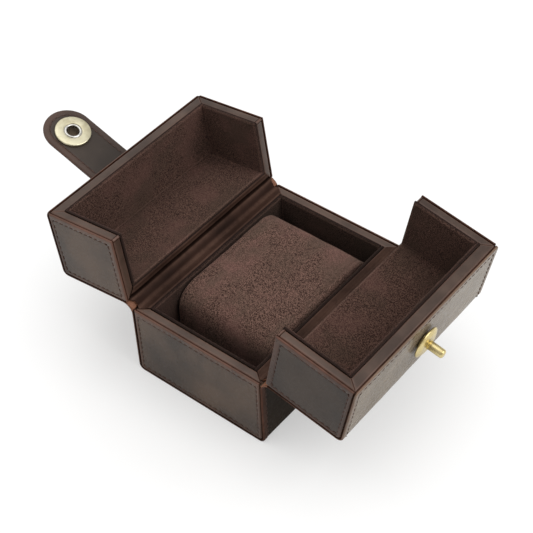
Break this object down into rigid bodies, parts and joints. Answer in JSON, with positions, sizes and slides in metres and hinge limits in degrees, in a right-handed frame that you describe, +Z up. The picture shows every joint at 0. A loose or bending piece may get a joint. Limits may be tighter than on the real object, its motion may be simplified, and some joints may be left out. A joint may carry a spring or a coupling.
{
  "type": "watch travel case",
  "caption": "Leather-covered box with two half lids that fold outwards, a strap with a snap socket, a stud on the other lid and a suede watch pillow.",
  "frame": {"origin": "middle of the underside of the base, on the table", "axes": "+Z up, +X towards the right lid that carries the stud, hinges along Y"},
  "size_m": [0.2284, 0.105, 0.0778],
  "materials": {
    "leather": "smooth dark brown leather with fine grain",
    "rim_leather": "smooth brown leather strip",
    "suede": "brushed brown suede",
    "pillow_suede": "soft reddish brown suede",
    "foam": "soft foam",
    "board": "pressed wood-fibre board",
    "gold": "pale gold plate, polished",
    "nickel": "bright nickel plate",
    "steel": "plain steel",
    "magnet": "dark plated magnet"
  },
  "bodies": {
    "base": {"base_board": "board", "base_wrap_leather": "leather", "base_front_leather": "leather", "base_back_leather": "leather", "base_rim_strips": "rim_leather", "base_side_liners": "suede", "base_end_liners": "suede", "base_floor_pad": "suede", "left_hinge_spine": "leather", "right_hinge_spine": "leather", "left_hinge_gusset": "rim_leather", "right_hinge_gusset": "rim_leather"},
    "left_lid": {"left_lid_board": "board", "left_lid_wrap_leather": "leather", "left_lid_end_leathers": "leather", "left_lid_rim_strips": "rim_leather", "left_lid_side_liner": "suede", "left_lid_top_liner": "suede", "left_lid_end_liners": "suede", "left_lid_spine_leaf": "leather", "left_lid_gusset_leaf": "rim_leather", "strap_tail": "leather"},
    "right_lid": {"right_lid_board": "board", "right_lid_wrap_leather": "leather", "right_lid_end_leathers": "leather", "right_lid_rim_strips": "rim_leather", "right_lid_side_liner": "suede", "right_lid_top_liner": "suede", "right_lid_end_liners": "suede", "right_lid_spine_leaf": "leather", "right_lid_gusset_leaf": "rim_leather", "stud_plate": "gold", "stud_post": "gold", "stud_washer": "steel"},
    "strap": {"strap_face": "leather", "strap_lining": "leather", "socket_ring": "gold", "socket_eyelet": "nickel", "socket_magnet": "magnet", "socket_cap": "gold"},
    "pillow": {"pillow_core": "foam", "pillow_cover": "pillow_suede"}
  },
  "joints": [
    {"name": "left_lid_hinge", "type": "hinge", "parent": "base", "child": "left_lid", "pos_m": [-0.0384, 0, 0.0402], "axis": [0, -1, 0], "range_deg": [-97.3, 7.7]},
    {"name": "right_lid_hinge", "type": "hinge", "parent": "base", "child": "right_lid", "pos_m": [0.0384, 0, 0.0402], "axis": [0, 1, 0], "range_deg": [-101.2, 3.8]},
    {"name": "strap_bend", "type": "hinge", "parent": "left_lid", "child": "strap", "pos_m": [-0.08335, 0, 0.05264], "axis": [0, -1, 0], "range_deg": [-55.1, 36]},
    {"name": "pillow_lift", "type": "slide", "parent": "base", "child": "pillow", "axis": [0, 0, 1], "range_m": [0, 0.15]}
  ]
}
